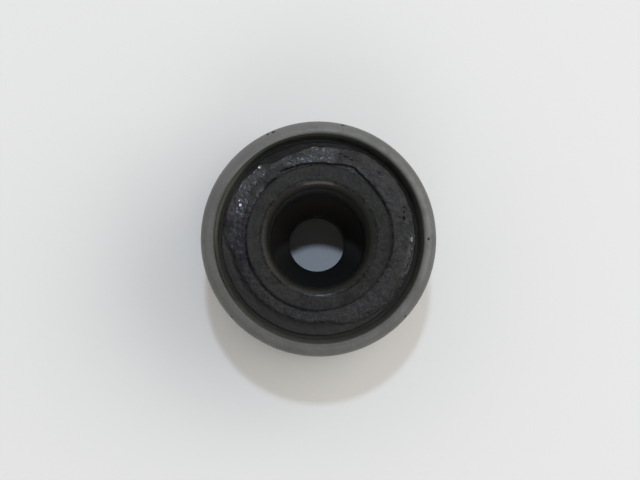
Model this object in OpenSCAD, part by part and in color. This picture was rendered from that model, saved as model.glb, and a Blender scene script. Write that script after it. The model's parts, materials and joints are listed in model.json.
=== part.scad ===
// Bonded shift lever bushing: a steel sleeve, a rubber ring and an inner bush on one axis.
// Millimetres. The axis is +Z, the bush stands on its lower end at Z = 0 and its mouth opens upwards.
// Every section is drawn with X as the radius and Y as the height, then turned round the axis.

/* [Outer sleeve] */
// Outside diameter of the sleeve
sleeve_od = 30; // [25.5:0.5:40]
// Thickness of the sleeve's wall
sleeve_wall = 1.65; // [0.8:0.05:2.5]
// Radius of the rounded outer corner at both ends
sleeve_corner = 1.4; // [0.3:0.1:2]
// Radius of the broken inner edge at both ends
sleeve_edge = 0.25; // [0.1:0.05:0.6]

/* [Inner bush] */
// Length of the bush, which is the height of the whole part
bush_length = 20; // [16:0.5:40]
// Outside diameter of the bush
bush_od = 18.4; // [16:0.1:22.4]
// How far the bush stands proud of the sleeve at each end
bush_proud = 0.6; // [0:0.1:1.5]
// Radius of the bush's outer edges
bush_edge = 0.15; // [0.1:0.05:0.5]

/* [Lever socket] */
// Diameter of the socket that takes the lever's end
socket_d = 12.5; // [8:0.1:15]
// Depth from the mouth to the foot of the socket's straight wall
socket_depth = 12.5; // [6:0.1:17]
// Radius of the rounded mouth
mouth_round = 1.3; // [0.3:0.1:1.6]
// Slope of the conical seat below the straight wall, from the horizontal
seat_slope = 45; // [15:5:60]
// Diameter of the hole through the socket's floor
tip_hole_d = 7.4; // [3:0.1:11.5]
// Chamfer at the lower end of that hole
tip_hole_chamfer = 0.4; // [0.1:0.1:0.8]

/* [Rubber ring] */
// Drop from the bush's end face to the rubber beside it
rubber_step = 0.1; // [0:0.1:1]
// Further drop of the crowned rubber, from the bush to the relief groove
crown_drop = 0.7; // [0.2:0.1:1.5]
// Width of the relief groove
groove_width = 0.5; // [0.3:0.05:2]
// Depth of the relief groove below the sleeve's end
groove_depth = 1.2; // [1:0.1:5]
// Thickness of the rubber film on the sleeve's wall
film_thickness = 0.55; // [0.2:0.05:0.8]
// Drop from the sleeve's end to the film's upper edge
film_step = 0.3; // [0.2:0.05:0.6]
// Further drop across the film, from the sleeve to the groove
film_fall = 0.5; // [0:0.1:0.8]
// Width of the open seam between the rubber and the bush
seam_width = 0.25; // [0.1:0.05:0.5]
// Depth of that seam
seam_depth = 0.4; // [0.1:0.05:0.8]

/* [Hidden] */
$fn = 160;
// Overshoot of each cut past the face that it opens
over = 0.05;

sleeve_r = sleeve_od / 2;
// The bonded walls: the rubber starts where the bush ends and ends where the sleeve starts
sleeve_bore_r = sleeve_r - sleeve_wall;
bush_r = bush_od / 2;
sleeve_length = bush_length - 2 * bush_proud;
sleeve_top = bush_length - bush_proud;
sleeve_corner_r = min(sleeve_corner, sleeve_wall - sleeve_edge);

socket_r = socket_d / 2;
tip_hole_r = tip_hole_d / 2;
socket_foot = bush_length - socket_depth;
seat_foot = socket_foot - (socket_r - tip_hole_r) * tan(seat_slope);

groove_outer_r = sleeve_bore_r - film_thickness;
groove_inner_r = groove_outer_r - groove_width;
seam_level = bush_length - rubber_step;
crown_width = groove_inner_r - bush_r;
// On a narrow ring the crown falls by no more than half its width
crown_fall = min(crown_drop, crown_width / 2);
// Arc that leaves the bush level and meets the groove's edge one crown_fall lower
crown_r = (crown_width ^ 2 + crown_fall ^ 2) / (2 * crown_fall);
film_edge = sleeve_top - film_step - film_fall;
// The groove's round floor starts half a width above its lowest point, and below the crown and the film
groove_round_r = groove_width / 2;
groove_wall_foot = min(sleeve_top - groove_depth + groove_round_r, film_edge, seam_level - crown_fall);

// The sliver outside a rounded corner at the origin, with the material towards -X and -Y
module corner_cut(radius) {
    difference() {
        translate([-radius, -radius]) square(radius + over);
        translate([-radius, -radius]) circle(radius);
    }
}

// What is drawn for the upper end, and its mirror image for the lower end
module both_ends() {
    children();
    translate([0, bush_length]) mirror([0, 1]) children();
}

// Pressed steel sleeve with a well rounded outer corner and a broken inner edge
module outer_sleeve() {
    color([0.40, 0.40, 0.39])
    rotate_extrude()
    difference() {
        translate([sleeve_bore_r, bush_proud]) square([sleeve_wall, sleeve_length]);
        both_ends() {
            translate([sleeve_r, sleeve_top]) corner_cut(sleeve_corner_r);
            translate([sleeve_bore_r, sleeve_top]) mirror([1, 0]) corner_cut(sleeve_edge);
        }
    }
}

// One end of the rubber from mid-height up: the crowned face and the film, with the groove between them
module rubber_end() {
    middle = bush_length / 2;
    difference() {
        translate([bush_r, middle]) square([crown_width, seam_level - middle]);
        // Above the crown's arc
        difference() {
            translate([bush_r, seam_level - crown_fall]) square([crown_width + over, crown_fall + over]);
            translate([bush_r, seam_level - crown_r]) circle(crown_r);
        }
        // The open seam beside the bush
        polygon([
            [bush_r - over, seam_level + over],
            [bush_r + seam_width, seam_level + over],
            [bush_r + seam_width, seam_level],
            [bush_r, seam_level - seam_depth],
            [bush_r - over, seam_level - seam_depth],
        ]);
    }
    difference() {
        translate([groove_inner_r - over, middle]) square([groove_width + 2 * over, groove_wall_foot - middle]);
        translate([groove_inner_r + groove_round_r, groove_wall_foot]) circle(groove_round_r);
    }
    polygon([
        [groove_outer_r, middle],
        [sleeve_bore_r, middle],
        [sleeve_bore_r, sleeve_top - film_step],
        [groove_outer_r, film_edge],
    ]);
}

// Rubber moulded and bonded between the sleeve and the bush
module rubber_ring() {
    color([0.13, 0.13, 0.13])
    rotate_extrude() both_ends() rubber_end();
}

// Moulded bush with a round mouth, a straight socket, a conical seat and a smaller hole through its floor
module inner_bush() {
    color([0.19, 0.19, 0.19])
    rotate_extrude()
    difference() {
        square([bush_r, bush_length]);
        both_ends() translate([bush_r, bush_length]) corner_cut(bush_edge);
        polygon([
            [0, -over],
            [tip_hole_r + tip_hole_chamfer + over, -over],
            [tip_hole_r, tip_hole_chamfer],
            [tip_hole_r, seat_foot],
            [socket_r, socket_foot],
            [socket_r, bush_length + over],
            [0, bush_length + over],
        ]);
        translate([socket_r, bush_length]) mirror([1, 0]) corner_cut(mouth_round);
    }
}

outer_sleeve();
rubber_ring();
inner_bush();
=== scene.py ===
import json
import math

import bmesh
import bpy
from mathutils import Matrix, Vector, noise


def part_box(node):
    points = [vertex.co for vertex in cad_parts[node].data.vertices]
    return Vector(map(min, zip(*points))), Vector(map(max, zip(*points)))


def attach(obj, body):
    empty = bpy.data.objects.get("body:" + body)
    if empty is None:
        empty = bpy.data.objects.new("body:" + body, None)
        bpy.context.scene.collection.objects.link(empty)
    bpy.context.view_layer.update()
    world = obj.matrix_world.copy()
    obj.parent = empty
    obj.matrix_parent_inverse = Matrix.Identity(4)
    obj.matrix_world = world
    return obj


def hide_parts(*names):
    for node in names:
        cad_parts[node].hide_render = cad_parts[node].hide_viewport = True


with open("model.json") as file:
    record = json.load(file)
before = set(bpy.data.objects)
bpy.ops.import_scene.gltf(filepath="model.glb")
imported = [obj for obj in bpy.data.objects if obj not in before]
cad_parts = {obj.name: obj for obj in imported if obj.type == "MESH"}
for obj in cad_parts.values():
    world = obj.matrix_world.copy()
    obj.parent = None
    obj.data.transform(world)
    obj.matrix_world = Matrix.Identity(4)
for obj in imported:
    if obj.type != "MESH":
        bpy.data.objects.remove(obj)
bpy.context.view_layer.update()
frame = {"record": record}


# Outer sleeve
# Short length of drawn steel tube under a thin grey phosphate coat, its outer corners rolled well round.
# It is pressed into the eye that holds the bushing, and the rubber is bonded to its inner wall.
MM = 0.001
mounts = {mount["name"]: mount["dims"] for mount in frame["record"]["mounts"]}
low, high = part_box("outer_sleeve")
SLEEVE_R = mounts["sleeve_outside"]["r_mm"]
SLEEVE_WALL = 1.65
SLEEVE_BORE_R = SLEEVE_R - SLEEVE_WALL
SLEEVE_FOOT = low.z / MM
SLEEVE_TOP = high.z / MM
SLEEVE_CORNER = 1.4
SLEEVE_EDGE = 0.25
# Above this height a piece is cut finely
DETAIL_FROM = 17.5
# The knocks fade out down the sleeve's side over this height
KNOCK_FOOT = 18.35
KNOCK_FADE = 0.4
# Each knock: angle round the sleeve, radius, half length and breadth of the dent, its depth
SLEEVE_KNOCKS = [
    (113.2, 14.86, 0.34, 0.30, 0.20),
    (116.2, 14.88, 0.30, 0.26, 0.16),
    (78.0, 14.88, 0.36, 0.24, 0.14),
    (-0.4, 13.93, 0.23, 0.22, 0.15),
    (222.0, 14.9, 0.30, 0.22, 0.10),
    (318.0, 14.8, 0.22, 0.20, 0.08),
]


def turned(corners, fine_from, fine, coarse, steps):
    """A closed ring, turned round Z from a section of (radius, height, round) corners, in millimetres.
    The section is cut into fine lengths above a height, and into coarse ones below it. It is spun through
    an eighth of the ring in steps, and the eighth is repeated, which is quicker than one long spin."""
    form = bmesh.new()
    points = [form.verts.new((radius, 0, height)) for radius, height, _ in corners]
    form.faces.new(points)
    for point, (_, height, rounding) in zip(points, corners):
        if rounding:
            length = fine if height > fine_from else coarse
            bmesh.ops.bevel(
                form, geom=[point], affect="VERTICES", offset=rounding, offset_type="OFFSET",
                segments=max(4, round(1.6 * rounding / length)), profile=0.5, material=-1,
            )
    bmesh.ops.delete(form, geom=form.faces[:], context="FACES_ONLY")
    for edge in form.edges[:]:
        middle = (edge.verts[0].co.z + edge.verts[1].co.z) / 2
        cuts = int(edge.calc_length() / (fine if middle > fine_from else coarse))
        if cuts:
            bmesh.ops.subdivide_edges(form, edges=[edge], cuts=cuts)
    bmesh.ops.spin(
        form, geom=form.verts[:] + form.edges[:], cent=(0, 0, 0), axis=(0, 0, 1),
        angle=math.tau / 8, steps=steps,
    )
    eighth = form.verts[:] + form.edges[:] + form.faces[:]
    for place in range(1, 8):
        copied = bmesh.ops.duplicate(form, geom=eighth)["geom"]
        moved = [item for item in copied if isinstance(item, bmesh.types.BMVert)]
        turn = Matrix.Rotation(math.tau * place / 8, 3, "Z")
        bmesh.ops.rotate(form, cent=(0, 0, 0), matrix=turn, verts=moved)
    bmesh.ops.remove_doubles(form, verts=form.verts[:], dist=0.001)
    bmesh.ops.recalc_face_normals(form, faces=form.faces[:])
    return form


def finished(form, name, sharp):
    """The object made of a form in millimetres, smooth but for the edges over the sharp angle."""
    bmesh.ops.scale(form, vec=(MM, MM, MM), verts=form.verts)
    for face in form.faces:
        face.smooth = True
    mesh = bpy.data.meshes.new(name)
    form.to_mesh(mesh)
    form.free()
    mesh.set_sharp_from_angle(angle=math.radians(sharp))
    piece = bpy.data.objects.new(name, mesh)
    bpy.context.scene.collection.objects.link(piece)
    return piece


def polar(point):
    """Radius and angle in degrees of a point round the axis."""
    return math.hypot(point.x, point.y), math.degrees(math.atan2(point.y, point.x))


def away(angle, middle):
    """Degrees from the middle angle, from -180 to 180."""
    return (angle - middle + 180) % 360 - 180


def on_mark(radius, angle, mark_angle, mark_radius, along, across):
    """1 in the middle of an oval mark on the ring, easing to 0 at its rim."""
    u = math.radians(away(angle, mark_angle)) * mark_radius / along
    v = (radius - mark_radius) / across
    inside = max(0.0, 1 - u * u - v * v)
    return inside * inside * (3 - 2 * inside)


class Wire:
    """A socket of a material's nodes. Sums on a wire add Math nodes."""

    def __init__(self, tree, socket):
        self.tree = tree
        self.socket = socket

    def node(self, kind, settings, sockets, output=0):
        """A new node's output: its settings are made first, then its sockets get their values or links."""
        made = self.tree.nodes.new("ShaderNode" + kind)
        for name, value in settings.items():
            setattr(made, name, value)
        for name, value in sockets.items():
            if isinstance(value, Wire):
                self.tree.links.new(value.socket, made.inputs[name])
            else:
                made.inputs[name].default_value = value
        return Wire(self.tree, made.outputs[output])

    def math(self, operation, *terms):
        return self.node("Math", {"operation": operation}, dict(enumerate(terms)))

    def __add__(self, other):
        return self.math("ADD", self, other)

    def __radd__(self, other):
        return self.math("ADD", other, self)

    def __sub__(self, other):
        return self.math("SUBTRACT", self, other)

    def __rsub__(self, other):
        return self.math("SUBTRACT", other, self)

    def __mul__(self, other):
        return self.math("MULTIPLY", self, other)

    def __rmul__(self, other):
        return self.math("MULTIPLY", other, self)

    def band(self, low, high):
        """0 below low, 1 above high, eased between them. A low above high turns it round."""
        return self.node(
            "MapRange", {"interpolation_type": "SMOOTHSTEP"},
            {"Value": self, "From Min": low, "From Max": high, "To Min": 0.0, "To Max": 1.0},
        )

    def grain(self, size, detail=3.0, rough=0.55, stretch=(1, 1, 1)):
        """Noise on this wire's place, with lumps of about this size in millimetres."""
        spread = self.node("VectorMath", {"operation": "MULTIPLY"}, {0: self, 1: stretch})
        return self.node(
            "TexNoise", {}, {"Vector": spread, "Scale": 1 / (size * MM), "Detail": detail, "Roughness": rough}
        )

    def blend(self, first, second):
        """The first colour where this wire is 0, the second where it is 1."""
        return self.node("Mix", {"data_type": "RGBA"}, {0: self, 6: first, 7: second}, 2)

    def facing(self, angle):
        """1 where this place lies at the angle round the axis, -1 on the other side of the axis."""
        turn = math.radians(angle)
        flat = self.node("VectorMath", {"operation": "MULTIPLY"}, {0: self, 1: (1, 1, 0)})
        unit = self.node("VectorMath", {"operation": "NORMALIZE"}, {0: flat})
        way = (math.cos(turn), math.sin(turn), 0)
        return self.node("VectorMath", {"operation": "DOT_PRODUCT"}, {0: unit, 1: way}, 1)

    def mark(self, name):
        """What the mesh says of itself at each point, under this name."""
        return self.node("Attribute", {"attribute_name": name}, {}, 2)


def new_finish(name, specular):
    """A material, its shader, the wire of the place in Object coordinates, and the wire of the
    distance from the axis in millimetres."""
    material = bpy.data.materials.new(name)
    material.use_nodes = True
    tree = material.node_tree
    shader = tree.nodes["Principled BSDF"]
    shader.inputs["Specular IOR Level"].default_value = specular
    place = Wire(tree, None).node("TexCoord", {}, {}, 3)
    flat = place.node("VectorMath", {"operation": "MULTIPLY"}, {0: place, 1: (1, 1, 0)})
    radius = place.node("VectorMath", {"operation": "LENGTH"}, {0: flat}, 1) * (1 / MM)
    return material, shader, place, radius


def feed(shader, **inputs):
    """Links wires to the shader's sockets, named with an underscore for a space."""
    for name, wire in inputs.items():
        wire.tree.links.new(wire.socket, shader.inputs[name.replace("_", " ")])


form = turned(
    [
        (SLEEVE_BORE_R, SLEEVE_FOOT, SLEEVE_EDGE),
        (SLEEVE_R, SLEEVE_FOOT, SLEEVE_CORNER),
        (SLEEVE_R, SLEEVE_TOP, SLEEVE_CORNER),
        (SLEEVE_BORE_R, SLEEVE_TOP, SLEEVE_EDGE),
    ],
    fine_from=DETAIL_FROM, fine=0.09, coarse=0.6, steps=110,
)
form.normal_update()
knock_mark = form.verts.layers.float.new("knock")
for vert in form.verts:
    if vert.co.z < DETAIL_FROM:
        continue
    radius, angle = polar(vert.co)
    depth = 0.0
    for knock_angle, knock_radius, along, across, deep in SLEEVE_KNOCKS:
        here = on_mark(radius, angle, knock_angle, knock_radius, along, across)
        here *= min(1.0, max(0.0, (vert.co.z - KNOCK_FOOT) / KNOCK_FADE))
        depth = max(depth, here * deep)
        vert[knock_mark] = max(vert[knock_mark], here)
    vert.co -= vert.normal * depth
sleeve = finished(form, "sleeve", 50)

# Light grey of rubbing wear, also used for painted sheen and painted light on the sleeve
RUBBED_AND_SHEEN = (0.17, 0.17, 0.165, 1)
coat, shader, place, radius = new_finish("phosphate_coat", 0.28)
knock = place.mark("knock")
height = place.node("SeparateXYZ", {}, {0: place}, 2) * (1 / MM)
mottle = place.grain(2.6, 4.0, 0.6)
grain = place.grain(0.16, 2.0)
drawn = place.grain(0.35, 2.0, 0.5, (1, 1, 0.04))
wall = radius.band(14.85, 14.97)
sheen_side = place.facing(30).band(-0.1, 0.6)
inner_edge_darkening = 0.4 + 0.4 * place.facing(45).band(0.7, 0.96) - 0.3 * place.facing(122).band(0.8, 0.97)
crest = radius.band(14.5, 14.1) * height.band(18.9, 19.25)
# Mottled patches on the crest painted light grey: partly rubbing wear, partly painted sheen on the upper
# right side, towards the lamps
rub_and_sheen = crest * mottle.band(0.3, 0.6) * sheen_side
shade = mottle.band(0.25, 0.75).blend((0.107, 0.107, 0.103, 1), (0.140, 0.140, 0.134, 1))
shade = (grain.band(0.38, 0.62) * 0.6).blend(shade, (0.082, 0.082, 0.079, 1))
shade = (rub_and_sheen * 0.6).blend(shade, RUBBED_AND_SHEEN)
# Painted light: the outer corner is painted lighter on the far side, about 112 degrees round
painted_corner_light = place.facing(112).band(0.55, 0.95) * radius.band(14.0, 14.5) * (1 - wall)
shade = (painted_corner_light * 0.4).blend(shade, RUBBED_AND_SHEEN)
shade = (wall * drawn.band(0.4, 0.75) * 0.14).blend(shade, RUBBED_AND_SHEEN)
# Painted light: a lighter band on the sleeve's inner edge, about 120 degrees round
painted_edge_light = place.facing(120).band(0.85, 0.97) * radius.band(13.66, 13.46)
shade = (painted_edge_light * 0.6).blend(shade, (0.21, 0.21, 0.2, 1))
# The inner edge is painted dark all round; the extra dark on the upper right, which faces away from the
# lamps, is painted shade, and it is lighter about 122 degrees round
shade = (radius.band(13.95, 13.4) * inner_edge_darkening).blend(shade, (0.03, 0.03, 0.028, 1))
# The dents are painted near black
shade = knock.band(0.15, 0.6).blend(shade, (0.022, 0.021, 0.02, 1))
rough = 0.44 + (grain - 0.5) * 0.2 - rub_and_sheen * 0.08 - wall * drawn.band(0.4, 0.8) * 0.05
relief = grain * 0.7 + mottle * 0.6 + wall * drawn * 0.3
feed(
    shader, Base_Color=shade, Roughness=rough,
    Normal=place.node("Bump", {}, {"Strength": 0.35, "Distance": 0.00003, "Height": relief}),
)
sleeve.data.materials.append(coat)
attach(sleeve, "root")
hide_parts("outer_sleeve")


# Inner bush
# Moulded bush of hard black plastic with a smooth matt face, which the rubber is bonded to on the outside.
# Its round-mouthed socket takes the lever's end, on a conical seat with a smaller hole through the floor.
low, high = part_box("inner_bush")
BUSH_FOOT = low.z / MM
BUSH_TOP = high.z / MM
BUSH_R = high.x / MM
BUSH_EDGE = 0.15
SOCKET_R = mounts["lever_socket"]["r_mm"]
SOCKET_FOOT = 7.5
MOUTH_ROUND = 1.3
TIP_HOLE_R = mounts["tip_hole"]["r_mm"]
TIP_HOLE_CHAMFER = 0.4
SEAT_FOOT = SOCKET_FOOT - (SOCKET_R - TIP_HOLE_R)
SEAT_ROUND = 0.3
FLOOR_ROUND = 0.25
FACE_SINK = 0.02

form = turned(
    [
        (TIP_HOLE_R + TIP_HOLE_CHAMFER, BUSH_FOOT, 0),
        (BUSH_R, BUSH_FOOT, BUSH_EDGE),
        (BUSH_R, BUSH_TOP, BUSH_EDGE),
        (SOCKET_R, BUSH_TOP, MOUTH_ROUND),
        (SOCKET_R, SOCKET_FOOT, SEAT_ROUND),
        (TIP_HOLE_R, SEAT_FOOT, FLOOR_ROUND),
        (TIP_HOLE_R, BUSH_FOOT + TIP_HOLE_CHAMFER, 0),
    ],
    fine_from=DETAIL_FROM, fine=0.12, coarse=0.5, steps=60,
)
# The moulded face sinks a little here and there, and never rises
for vert in form.verts:
    if vert.co.z > BUSH_TOP - FACE_SINK:
        vert.co.z -= FACE_SINK + FACE_SINK * noise.noise(vert.co * 0.7)
bush = finished(form, "bush", 40)

plastic, shader, place, radius = new_finish("matt_black_plastic", 0.15)
shader.inputs["Coat Roughness"].default_value = 0.2
mottle = place.grain(1.9, 4.0, 0.6)
speckle = place.grain(0.3, 3.0, 0.6)
grain = place.grain(0.1, 2.0)
bloom = mottle.band(0.3, 0.65) * 0.4 + speckle.band(0.38, 0.66) * 0.6
# The face is painted a little darker towards the lower right
bloom = bloom - 0.2 * place.facing(330).band(0.2, 1.0)
lip = radius.band(6.75, 6.95) * radius.band(7.75, 7.45)
polish = place.facing(90).band(0.945, 0.985) + 0.5 * place.facing(256).band(0.94, 0.99)
shade = bloom.blend((0.0095, 0.0091, 0.0084, 1), (0.031, 0.0297, 0.0273, 1))
# Painted shade on the bush's rounded edge beside the seam
shade = (radius.band(8.85, 9.15) * 0.5).blend(shade, (0.005, 0.005, 0.0048, 1))
# Painted shade: the mouth's roll is painted darker, a little less so towards the upper right
mouth = place.facing(50).band(-0.2, 0.8).blend((0.0095, 0.0095, 0.009, 1), (0.0155, 0.0152, 0.0145, 1))
shade = radius.band(7.3, 6.7).blend(shade, mouth)
# Painted light: the bore's wall is painted lighter on the far side than on the near side
bore = place.facing(90).band(-0.7, 0.2).blend((0.022, 0.021, 0.019, 1), (0.050, 0.048, 0.046, 1))
shade = radius.band(6.3, 6.2).blend(shade, bore)
rough = 0.46 + (mottle - 0.5) * 0.25 + (speckle - 0.5) * 0.25 - lip * 0.30
feed(
    shader, Base_Color=shade, Roughness=rough, Coat_Weight=lip * polish * 0.6,
    Normal=place.node("Bump", {}, {"Strength": 0.3, "Distance": 0.00002, "Height": grain + speckle}),
)
bush.data.materials.append(plastic)
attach(bush, "root")
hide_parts("inner_bush")


# Rubber ring
# Black rubber moulded between sleeve and bush and bonded to both, with a relief groove beside the sleeve.
# A rough, partly glossy skin with a ragged edge lies on the crowned end, where it tore from the mould.
low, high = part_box("rubber_ring")
RUBBER_FOOT = low.z / MM
RUBBER_TOP = high.z / MM
CROWN_DROP = 0.7
GROOVE_OUTER_R = 12.7
GROOVE_INNER_R = 12.3
GROOVE_FLOOR = 18.2
GROOVE_ROUND = 0.19
GROOVE_EDGE = 0.16
CROWN_WIDTH = GROOVE_INNER_R - BUSH_R
FILM_TOP = SLEEVE_TOP - 0.3
SKIN_LIFT = 0.22
CREASE_DEPTH = 0.22
ROLL_RISE = 0.10
SEAM_DEPTH = 0.18
CRACK_DEPTH = 0.34
# A dent as deep as this loses the skin and is painted dark, as painted shade in the pit
PIT_DEPTH = 0.2
# How far a facet lies under the crown
FACET_SINK = 0.04
# The skin's ragged outer edge: angle round the ring, radius
SKIN_EDGE = [
    (0, 12.3), (30, 12.3), (60, 12.2), (76, 11.8), (90, 11.7), (104, 11.35), (118, 11.1), (124, 11.3),
    (129, 12.0), (150, 12.1), (174, 12.2), (184, 11.6), (190, 11.0), (205, 10.85), (240, 10.8),
    (262, 10.72), (278, 10.7), (287, 11.2), (296, 11.75), (330, 12.1), (345, 12.2),
]
# How wide the seam beside the bush stands open: angle, width
SEAM_WIDTH = [
    (0, 0.14), (25, 0.22), (44, 0.22), (51, -0.02), (62, -0.04), (75, -0.02), (88, 0.0), (112, 0.0),
    (124, 0.0), (128, 0.24), (136, 0.22), (140, -0.08), (150, -0.14), (165, 0.02), (185, 0.09),
    (205, 0.13), (240, 0.15), (262, 0.11), (275, 0.06), (290, 0.03), (310, 0.02), (325, 0.03),
    (340, 0.09),
]
# Where the seam leaves the bush and runs out into the skin as a crack: angle, radius
CRACK = [
    (0, 9.4), (44, 9.36), (50, 9.48), (57, 9.64), (64, 9.95), (70, 9.78), (80, 9.5), (90, 9.48),
    (103, 9.55), (121, 9.72), (140, 9.72),
]
# How lively the skin's lumps are: angle, strength
LIVELY = [
    (0, 1.5), (30, 1.5), (60, 1.4), (90, 1.7), (108, 1.9), (122, 1.3), (158, 2.4), (185, 1.7),
    (205, 1.6), (235, 1.0), (270, 1.0), (300, 1.3), (330, 1.2),
]
# How light the groove, the film and the face beyond the skin are painted round the ring, as painted light on
# the lower left and painted shade at the top and right: angle, strength
FILM_PAINTED_LIGHT = [
    (0, 0.4), (30, 0.08), (60, 0.06), (90, 0.1), (118, 0.12), (132, 0.32), (150, 1.1), (180, 0.95),
    (210, 0.75), (240, 0.75), (270, 0.75), (300, 0.65), (330, 0.55),
]
# How far the face beyond the skin falls away to the groove: angle, drop
SHELF_FALL = [
    (0, 0.05), (60, 0.0), (90, 0.15), (120, 0.25), (150, 0.1), (170, 0.1), (200, 0.28), (240, 0.3),
    (275, 0.3), (300, 0.3), (330, 0.3), (346, 0.25),
]
# Glossy patches of the skin, also painted lighter as painted sheen: angle, half the spread, inner and outer
# radius, strength
GLOSS = [
    (158, 13, 10.0, 12.2, 0.75), (90, 15, 9.6, 11.7, 0.48), (116, 10, 10.6, 11.6, 0.4),
    (140, 15, 10.6, 12.2, 0.7), (148, 14, 9.3, 9.8, 0.3), (103, 14, 9.75, 10.5, 0.62),
    (180, 14, 9.9, 11.9, 0.2), (-1, 5, 11.5, 12.1, 0.35), (-14, 14, 11.4, 12.0, 0.4),
    (62, 14, 9.6, 10.4, 0.2), (35, 30, 9.6, 11.9, 0.06), (-60, 30, 9.6, 11.9, 0.08),
    (-95, 20, 9.6, 10.6, 0.08),
]
# Small marks on the skin: angle, radius, half length and breadth, rise or dent
SKIN_MARKS = [
    (19.0, 11.78, 0.6, 0.12, 0.09), (14.5, 11.62, 0.6, 0.12, 0.09), (130.0, 11.72, 0.16, 0.14, 0.16),
    (-7.5, 11.86, 0.8, 0.13, 0.10), (-12.5, 11.74, 0.9, 0.13, 0.10), (-18.0, 11.6, 0.9, 0.13, 0.09),
    (20.0, 11.48, 0.19, 0.18, -0.2), (17.2, 11.32, 0.19, 0.18, -0.2), (13.2, 11.06, 0.26, 0.22, -0.26),
    (21.0, 11.2, 0.15, 0.2, -0.08), (-57.0, 11.4, 0.24, 0.22, -0.18), (-59.5, 11.2, 0.22, 0.14, 0.12),
    (-55.0, 11.15, 0.3, 0.12, 0.12), (-63.0, 11.35, 0.3, 0.12, 0.10), (-50.0, 11.2, 0.3, 0.13, 0.10),
    (-67.0, 10.9, 0.25, 0.12, 0.08), (-71.0, 11.75, 0.34, 0.24, 0.08), (-71.0, 11.75, 0.2, 0.13, -0.10),
    (-36.0, 11.35, 0.3, 0.16, 0.08), (-48.0, 10.7, 0.25, 0.16, 0.07), (75.5, 11.06, 0.4, 0.11, -0.18),
    (71.5, 10.9, 0.45, 0.11, -0.18), (67.5, 10.76, 0.4, 0.11, -0.18), (48.0, 11.3, 0.45, 0.12, -0.10),
    (200.0, 10.5, 0.28, 0.28, -0.10), (206.0, 10.0, 0.24, 0.24, -0.10),
]
# Smooth facets that lean to the light beyond the part: angle, radius, half length and breadth, shine
FACETS = [
    (154.5, 11.13, 0.26, 0.24, 0.9), (157.3, 10.80, 0.40, 0.34, 0.9), (160.2, 11.04, 0.22, 0.2, 0.7),
    (158.5, 10.1, 0.16, 0.15, 0.5), (151.5, 10.9, 0.22, 0.18, 0.25), (163.5, 10.6, 0.16, 0.16, 0.3),
    (167.0, 10.9, 0.14, 0.14, 0.25), (140.9, 10.93, 0.18, 0.16, 0.3), (134.2, 10.79, 0.15, 0.15, 0.3),
    (130.1, 11.74, 0.36, 0.32, 1.0), (121.3, 10.89, 0.14, 0.14, 0.5), (118.0, 10.88, 0.15, 0.14, 0.5),
    (114.5, 10.88, 0.20, 0.15, 0.6), (110.1, 11.05, 0.16, 0.14, 0.3), (112.9, 9.77, 0.18, 0.13, 0.3),
    (108.5, 9.68, 0.18, 0.13, 0.35), (98.0, 10.0, 0.20, 0.15, 0.3), (98.2, 10.6, 0.16, 0.14, 0.3),
    (90.0, 9.85, 0.20, 0.13, 0.3), (-0.4, 11.80, 0.75, 0.26, 0.3), (2.4, 11.74, 0.26, 0.16, 0.4),
    (-6.5, 11.86, 0.45, 0.13, 0.28), (-11.0, 11.78, 0.45, 0.13, 0.28), (-15.5, 11.66, 0.45, 0.13, 0.3),
    (-19.0, 11.55, 0.35, 0.13, 0.3), (149.6, 10.62, 0.24, 0.15, 0.4), (154.7, 10.25, 0.22, 0.16, 0.45),
    (152.1, 9.84, 0.18, 0.13, 0.35), (160.7, 10.25, 0.22, 0.16, 0.4), (163.4, 10.85, 0.2, 0.16, 0.4),
    (153.9, 11.7, 0.2, 0.15, 0.4), (161.6, 11.55, 0.18, 0.15, 0.35), (143.0, 11.25, 0.26, 0.14, 0.45),
    (138.0, 11.15, 0.22, 0.14, 0.45), (146.5, 11.0, 0.22, 0.15, 0.4), (145.0, 11.6, 0.22, 0.14, 0.35),
    (105.0, 10.15, 0.3, 0.12, 0.4), (100.5, 9.85, 0.3, 0.12, 0.45), (94.5, 9.95, 0.28, 0.12, 0.4),
    (86.0, 11.5, 0.35, 0.12, 0.4), (10.0, 11.28, 0.24, 0.19, 0.4), (-25.0, 11.75, 0.18, 0.15, 0.35),
    (-57.0, 10.95, 0.14, 0.14, 0.3),
]


def eased(low, high, value):
    """0 at low, 1 at high, eased between them, whichever is the greater."""
    part = min(1.0, max(0.0, (value - low) / (high - low)))
    return part * part * (3 - 2 * part)


def between(value, start, full, fading, gone):
    """1 from full to fading, eased to 0 at start and at gone."""
    return eased(start, full, value) * (1 - eased(fading, gone, value))


def ridge(radius, middle, width):
    """1 at the middle radius, falling off to both sides over about this width."""
    return math.exp(-(((radius - middle) / width) ** 2))


def round_ring(stops, angle):
    """The value at an angle, eased between (angle, value) stops that close on themselves."""
    angle %= 360
    after = next((index for index, stop in enumerate(stops) if stop[0] > angle), 0)
    start, first = stops[after - 1]
    end, second = stops[after]
    part = (angle - start) / ((end - start) % 360)
    return first + (second - first) * part * part * (3 - 2 * part)


def crown_rise(radius):
    """How far the crowned face stands over the straight line from the seam to the groove."""
    part = (radius - BUSH_R) / CROWN_WIDTH
    return max(0.0, part * (1 - part)) * CROWN_DROP


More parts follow.
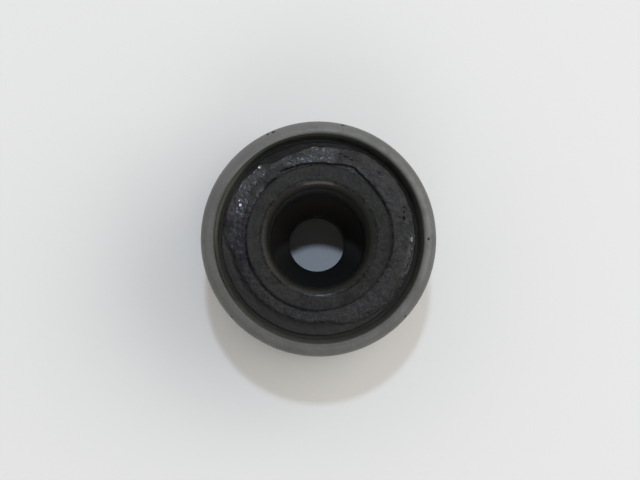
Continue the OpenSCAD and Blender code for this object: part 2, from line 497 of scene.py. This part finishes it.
form = turned(
    [
        (BUSH_R, RUBBER_FOOT, 0),
        (GROOVE_INNER_R, RUBBER_FOOT + CROWN_DROP, GROOVE_EDGE),
        (GROOVE_INNER_R, BUSH_TOP - GROOVE_FLOOR, GROOVE_ROUND),
        (GROOVE_OUTER_R, BUSH_TOP - GROOVE_FLOOR, GROOVE_ROUND),
        (SLEEVE_BORE_R, BUSH_TOP - FILM_TOP, 0),
        (SLEEVE_BORE_R, FILM_TOP, 0),
        (GROOVE_OUTER_R, GROOVE_FLOOR, GROOVE_ROUND),
        (GROOVE_INNER_R, GROOVE_FLOOR, GROOVE_ROUND),
        (GROOVE_INNER_R, RUBBER_TOP - CROWN_DROP, GROOVE_EDGE),
        (BUSH_R, RUBBER_TOP, 0),
    ],
    fine_from=17.0, fine=0.055, coarse=1.5, steps=80,
)
gloss_mark = form.verts.layers.float.new("gloss")
skin_mark = form.verts.layers.float.new("skin")
film_mark = form.verts.layers.float.new("film")
for vert in form.verts:
    point = vert.co.copy()
    radius, angle = polar(point)
    turn = angle % 360
    upper = point.z > BUSH_TOP / 2
    height = point.z if upper else BUSH_TOP - point.z
    if height < GROOVE_FLOOR - 0.1:
        continue
    # The groove's edges wander a little
    wander = 0.07 * noise.noise(point * 0.7) + 0.05 * noise.noise(point * 2.2)
    sway = 1 + wander * between(radius, 11.6, 12.2, 12.7, 13.2) / radius
    if radius > GROOVE_OUTER_R - 0.05:
        # The film mark holds how light the film is painted here, as painted light and painted shade. The
        # film's upper edge wanders too, and at the left it hangs loose
        vert[film_mark] = round_ring(FILM_PAINTED_LIGHT, angle) + 0.12 * noise.noise(point * 0.8)
        near_rim = eased(GROOVE_FLOOR + 0.2, FILM_TOP, height)
        drop = near_rim * (0.05 + 0.12 * noise.noise(point * 0.6) + 0.05 * noise.noise(point * 2.3))
        loose = between(turn, 116, 132, 205, 235)
        drop += 0.3 * loose * eased(13.12, 13.28, radius)
        rim = height - drop
        vert.co = (point.x * sway, point.y * sway, rim if upper else BUSH_TOP - rim)
        continue
    face = eased(18.5, 19.0, height)
    # The skin ends in a ragged edge, softer along the crease at the lower left
    ragged = 0.16 * noise.noise(point * 1.1) + 0.10 * noise.noise(point * 2.7)
    edge = round_ring(SKIN_EDGE, angle) + ragged
    creased = between(turn, 178, 194, 278, 292)
    soft = 0.07 + 0.25 * between(turn, 172, 184, 278, 292)
    skin = 1 - eased(edge - soft, edge + soft, radius)
    # The skin's lumps, combed round the ring at the top
    lumps = 0.045 * noise.noise(point * 0.8) + 0.055 * noise.noise(point * 1.9)
    lumps += 0.018 * noise.noise(point * 4.3)
    lumps += 0.032 * (noise.ridged_multi_fractal(point * 1.3, 1.0, 2.1, 2, 1.0, 2.0) - 1.2)
    combed = Vector((point.x / radius * 11.0, point.y / radius * 11.0, radius * 3.0))
    strands = 0.055 * noise.noise(combed) + 0.035 * noise.noise(combed * 2.1)
    strands += 0.035 * (noise.ridged_multi_fractal(combed * 0.8, 1.0, 2.1, 2, 1.0, 2.0) - 1.2)
    share = 0.85 * between(angle, 58, 74, 122, 136)
    lumps = (lumps + (strands - lumps) * share) * round_ring(LIVELY, angle)
    rise = crown_rise(radius) + skin * (lumps - 0.08) - (1 - skin) * (SKIN_LIFT - 0.6 * lumps)
    rise -= CREASE_DEPTH * creased * ridge(radius, edge + 0.16, 0.36)
    fall = round_ring(SHELF_FALL, angle) * eased(11.1, 12.25, radius)
    fall *= min(1.0, (height - GROOVE_FLOOR) / (RUBBER_TOP - CROWN_DROP - GROOVE_FLOOR))
    rolled = between(turn, 104, 110, 146, 154)
    rise += ROLL_RISE * rolled * ridge(radius, edge - 0.14, 0.11)
    # The open seam beside the bush, and the crack that leaves it
    jagged = 0.3 + 0.7 * (1 - eased(0.7, 1.0, abs(away(angle, 78)) / 60))
    wide = round_ring(SEAM_WIDTH, angle)
    wide += jagged * (0.11 * noise.noise(point * 1.3) + 0.11 * noise.noise(point * 2.9))
    opening = (1 - eased(0.0, wide + 0.30, radius - BUSH_R)) * eased(0.0, 0.14, wide)
    rise -= SEAM_DEPTH * (1 + jagged) * opening
    cracked = between(angle, 43, 49, 117, 123) * face
    course = round_ring(CRACK, angle) + 0.05 * noise.noise(point * 2.0)
    rise -= CRACK_DEPTH * cracked * ridge(radius, course, 0.09)
    rise += ROLL_RISE * cracked * ridge(radius, course + 0.25, 0.14)
    # Where the seam is shut, the rubber laps over the bush's rounded edge
    lap = face * eased(0.04, -0.12, wide) * 0.16 * (1 - eased(BUSH_R, BUSH_R + 0.5, radius))
    if upper:
        for mark_angle, mark_radius, along, across, lift in SKIN_MARKS:
            here = on_mark(radius, angle, mark_angle, mark_radius, along, across)
            rise += lift * here
            # Deep dents lose the skin, so they are painted dark as painted shade
            if lift <= -PIT_DEPTH:
                skin *= 1 - 0.8 * here
        streak = between(angle, -86, -83, -76, -73) * between(radius, 9.8, 10.1, 10.7, 11.0)
        rise += 0.025 * streak * math.sin(math.radians(angle) * 10.4 * math.tau / 0.42)
        wrinkle = between(turn, 190, 197, 209, 215) * between(radius, 9.7, 9.9, 10.8, 11.1)
        if wrinkle:
            near = noise.voronoi(point * 2.0)[0]
            rise += 0.09 * wrinkle * (1 - eased(0.0, 0.25, near[1] - near[0]))
        shine = 0.0
        for middle, spread, inner, outer, strength in GLOSS:
            across = between(radius, inner - 0.2, inner + 0.2, outer - 0.2, outer + 0.2)
            shine = max(shine, strength * across * (1 - eased(0.5, 1.0, abs(away(angle, middle)) / spread)))
        shine *= skin
        for facet_angle, facet_radius, along, across, strength in FACETS:
            part = min(1.0, 2.0 * on_mark(radius, angle, facet_angle, facet_radius, along, across))
            if part:
                x = facet_radius * math.cos(math.radians(facet_angle))
                y = facet_radius * math.sin(math.radians(facet_angle))
                flat = RUBBER_TOP - CROWN_DROP * (facet_radius - BUSH_R) / CROWN_WIDTH
                flat += crown_rise(facet_radius) - FACET_SINK
                flat += (0.015 + 0.002 * x) * (point.x - x) - (0.137 - 0.002 * y) * (point.y - y)
                rise += (flat - height - rise) * part
                fall *= 1 - part
                shine = max(shine * (1 - part), strength * part)
        vert[gloss_mark] = shine
    vert[skin_mark] = skin * face
    # The film mark holds how light the face is painted here, as painted light and painted shade
    vert[film_mark] = round_ring(FILM_PAINTED_LIGHT, angle)
    top = min(height + rise * face - max(0.0, fall), BUSH_TOP - 0.02)
    sway -= lap / radius
    vert.co = (point.x * sway, point.y * sway, top if upper else BUSH_TOP - top)
bmesh.ops.recalc_face_normals(form, faces=form.faces[:])
rubber = finished(form, "rubber", 70)

black, shader, place, radius = new_finish("moulded_rubber", 0.2)
shader.inputs["Coat Roughness"].default_value = 0.24
gloss = place.mark("gloss")
skin = place.mark("skin")
lumps = place.grain(1.1, 4.0, 0.6)
grit = place.grain(0.22, 3.0, 0.65)
film = radius.band(12.15, 12.45)
# The side light and shade painted round the ring
painted_side_light = place.mark("film")
left = place.facing(180).band(0.8, 0.98)
# Painted light: the film's outer part is painted lighter on the left, facing the lamp on the right
painted_film_side_light = place.facing(155).band(0.8, 0.97) * radius.band(12.75, 13.0)
shade = lumps.band(0.3, 0.7).blend((0.009, 0.009, 0.0095, 1), (0.0225, 0.0225, 0.023, 1))
shade = (skin * grit.band(0.5, 0.66) * 0.68).blend(shade, (0.05, 0.05, 0.05, 1))
shade = (skin * left * lumps.band(0.66, 0.45)).blend(shade, (0.008, 0.0062, 0.0125, 1))
# Painted sheen: the glossy patches and facets are also painted a lighter bluish grey
shade = (gloss * 0.7).blend(shade, (0.026, 0.028, 0.035, 1))
# Painted shade: beyond the skin the face is painted near black where the painted side light is low, at the
# top and right
shade = ((1 - skin) * (1 - painted_side_light) * 0.9).blend(shade, (0.003, 0.003, 0.003, 1))
# Painted highlight on the film's top edge, all round and strongest about 108 degrees round
rim = 0.2 + 0.5 * place.facing(108).band(0.75, 0.95)
# Painted shade in the crease along the skin's edge, painted lighter out towards the groove, with grit
# speckle, laid on where the side is painted light
shelf_painted_light = radius.band(11.1, 11.75) * (0.25 + grit * 1.5)
shelf = shelf_painted_light.blend((0.006, 0.006, 0.006, 1), (0.042, 0.042, 0.041, 1))
shade = ((1 - skin) * painted_side_light * 0.85).blend(shade, shelf)
# Painted light on the groove and the film, from the painted side light and the painted highlight on the
# film's top edge, with grit speckle
painted_film_light = painted_side_light * (0.5 + 0.45 * radius.band(12.7, 12.95)) * (0.6 + grit * 0.9) + radius.band(13.0, 13.25) * rim
film_shade = painted_film_side_light.blend((0.048, 0.047, 0.039, 1), (0.090, 0.088, 0.076, 1))
# Painted shade: where that painted light is low, the groove and film are painted near black
shade = film.blend(shade, painted_film_light.blend((0.0055, 0.0055, 0.005, 1), film_shade))
rough = 0.6 - gloss * 0.2 - skin * 0.06 + (grit - 0.5) * 0.25
relief = grit * (0.4 + 0.6 * skin) * (1 - gloss) * 0.8 + lumps * 0.3
feed(
    shader, Base_Color=shade, Roughness=rough, Coat_Weight=gloss,
    Normal=place.node("Bump", {}, {"Strength": 0.6, "Distance": 0.00006, "Height": relief}),
)
rubber.data.materials.append(black)
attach(rubber, "root")
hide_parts("rubber_ring")


# Floor
# Plain pale table top that the bushing stands on. It is part of the stage, not of the object.
FLOOR_HALF = 0.8
form = bmesh.new()
bmesh.ops.create_grid(form, x_segments=1, y_segments=1, size=FLOOR_HALF)
mesh = bpy.data.meshes.new("floor")
form.to_mesh(mesh)
form.free()
floor = bpy.data.objects.new("floor", mesh)
bpy.context.scene.collection.objects.link(floor)
pale, shader, _, _ = new_finish("pale_floor", 0.2)
shader.inputs["Base Color"].default_value = (0.81, 0.81, 0.80, 1)
shader.inputs["Roughness"].default_value = 0.9
floor.data.materials.append(pale)


# Lights
# A large soft box to the right, a small cool one beyond the part, a weak broad one on the near side,
# and a room that is darker straight overhead.
def soft_box(name, slope, distance, width, share, colour):
    """A square lamp in the direction of a slope, which gives this share of the light on the floor."""
    toward = Vector(slope).normalized()
    lamp = bpy.data.lights.new(name, "AREA")
    lamp.size = width
    lamp.color = colour
    lamp.energy = share * math.pi ** 2 * distance ** 2 / toward.z
    stand = bpy.data.objects.new(name, lamp)
    stand.location = toward * distance
    stand.rotation_euler = toward.to_track_quat("Z", "Y").to_euler()
    bpy.context.scene.collection.objects.link(stand)


soft_box("key", (1.1, 0.4, 1), 0.8, 0.7, 0.20, (1, 0.97, 0.915))
soft_box("far", (-0.012, 0.337, 1), 0.9, 0.04, 0.23, (0.66, 0.80, 1))
soft_box("near", (0.0, -0.85, 1), 0.8, 0.4, 0.07, (1, 0.97, 0.93))
room = bpy.data.worlds.new("room")
room.use_nodes = True
sky = room.node_tree.nodes["Background"]
way = Wire(room.node_tree, None).node("TexCoord", {}, {}, 0)
rightward = way.node("SeparateXYZ", {}, {0: way}, 0)
farward = way.node("SeparateXYZ", {}, {0: way}, 1)
upward = way.node("SeparateXYZ", {}, {0: way}, 2)
brightness = 0.12 + 0.655 * upward.band(0.95, 0.80) * (1 + 0.31 * rightward + 0.36 * farward)
room.node_tree.links.new(brightness.socket, sky.inputs["Strength"])
sky.inputs["Color"].default_value = (1, 0.97, 0.925, 1)
bpy.context.scene.world = room
bpy.context.scene.view_settings.view_transform = "Standard"


# Camera
# Almost straight above the part, from a little to the near side and the left.
SIGHT = Vector((-0.0172, -0.0523, 1)).normalized()
TARGET = Vector((0.00017, -0.00019, 0.0185))
REACH = 0.25
lens = bpy.data.cameras.new("camera")
lens.sensor_width = 36
lens.lens = 110.6
lens.clip_start = 0.01
camera = bpy.data.objects.new("camera", lens)
image_up = (Vector((0, 1, 0)) - SIGHT * SIGHT.y).normalized()
image_right = image_up.cross(SIGHT)
axes = Matrix((image_right, image_up, SIGHT)).transposed()
camera.matrix_world = Matrix.Translation(TARGET + SIGHT * REACH) @ axes.to_4x4()
bpy.context.scene.collection.objects.link(camera)
bpy.context.scene.camera = camera
